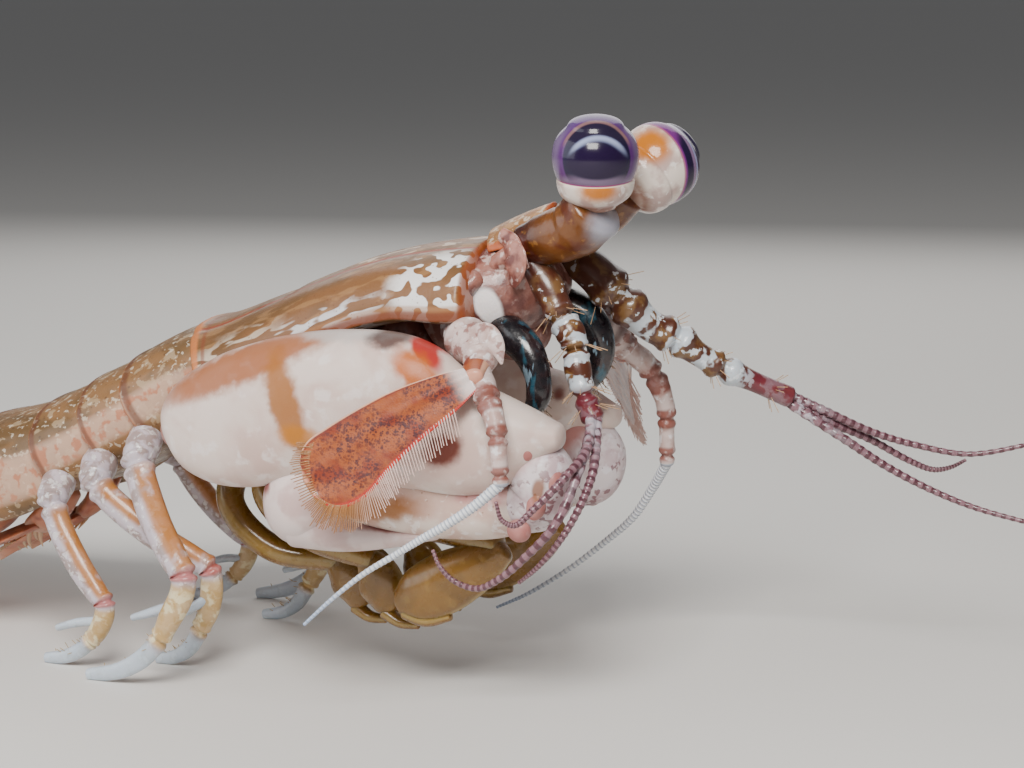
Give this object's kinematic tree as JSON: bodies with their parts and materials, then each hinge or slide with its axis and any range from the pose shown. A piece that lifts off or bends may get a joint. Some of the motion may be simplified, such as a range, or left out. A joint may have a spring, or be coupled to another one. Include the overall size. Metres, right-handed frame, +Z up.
{
  "type": "mantis shrimp",
  "caption": "Life-size model of a smashing mantis shrimp standing with folded claws, stalked eyes raised, feelers spread and tail fan open.",
  "frame": {"origin": "middle of the footprint, on the floor", "axes": "+X forward along the body, +Y to the animal's left, +Z up"},
  "size_m": [0.1532, 0.0464, 0.0462],
  "materials": {
    "shell": "satin",
    "rim": "satin",
    "flesh": "satin",
    "porcelain": "gloss",
    "scale": "satin",
    "feeler": "satin",
    "chalk": "matte",
    "eye": "gloss",
    "stalk": "satin",
    "inky": "gloss",
    "amber": "satin",
    "leg": "satin",
    "gill": "satin",
    "fin": "satin"
  },
  "bodies": {
    "root": {"carapace": "shell", "rostral_plate": "rim", "thorax_front": "flesh", "head": "flesh", "thorax_somite_6": "shell", "thorax_somite_7": "shell", "thorax_somite_8": "shell", "abdomen_somite_1": "shell", "abdomen_somite_2": "shell", "abdomen_somite_3": "shell", "abdomen_somite_4": "shell", "abdomen_somite_5": "shell", "abdomen_somite_6": "shell", "telson": "fin", "uropod_right": "fin", "uropod_left": "fin", "pleopod_1_right": "gill", "pleopod_1_left": "gill", "pleopod_2_right": "gill", "pleopod_2_left": "gill", "pleopod_3_right": "gill", "pleopod_3_left": "gill", "pleopod_4_right": "gill", "pleopod_4_left": "gill", "pleopod_5_right": "gill", "pleopod_5_left": "gill", "eye_right": "eye", "eye_stalk_right": "stalk", "eye_left": "eye", "eye_stalk_left": "stalk", "antennule_right": "feeler", "antenna_right": "chalk", "antennal_scale_right": "scale", "antennule_left": "feeler", "antenna_left": "chalk", "antennal_scale_left": "scale", "raptorial_merus_right": "porcelain", "raptorial_ischium_right": "porcelain", "raptorial_carpus_right": "porcelain", "raptorial_propodus_right": "porcelain", "raptorial_dactyl_right": "porcelain", "maxilliped_1_right": "inky", "maxilliped_3_right": "amber", "maxilliped_4_right": "amber", "maxilliped_5_right": "amber", "walking_leg_1_right": "leg", "walking_leg_2_right": "leg", "walking_leg_3_right": "leg", "raptorial_merus_left": "porcelain", "raptorial_ischium_left": "porcelain", "raptorial_carpus_left": "porcelain", "raptorial_propodus_left": "porcelain", "raptorial_dactyl_left": "porcelain", "maxilliped_1_left": "inky", "maxilliped_3_left": "amber", "maxilliped_4_left": "amber", "maxilliped_5_left": "amber", "walking_leg_1_left": "leg", "walking_leg_2_left": "leg", "walking_leg_3_left": "leg"}
  },
  "joints": []
}
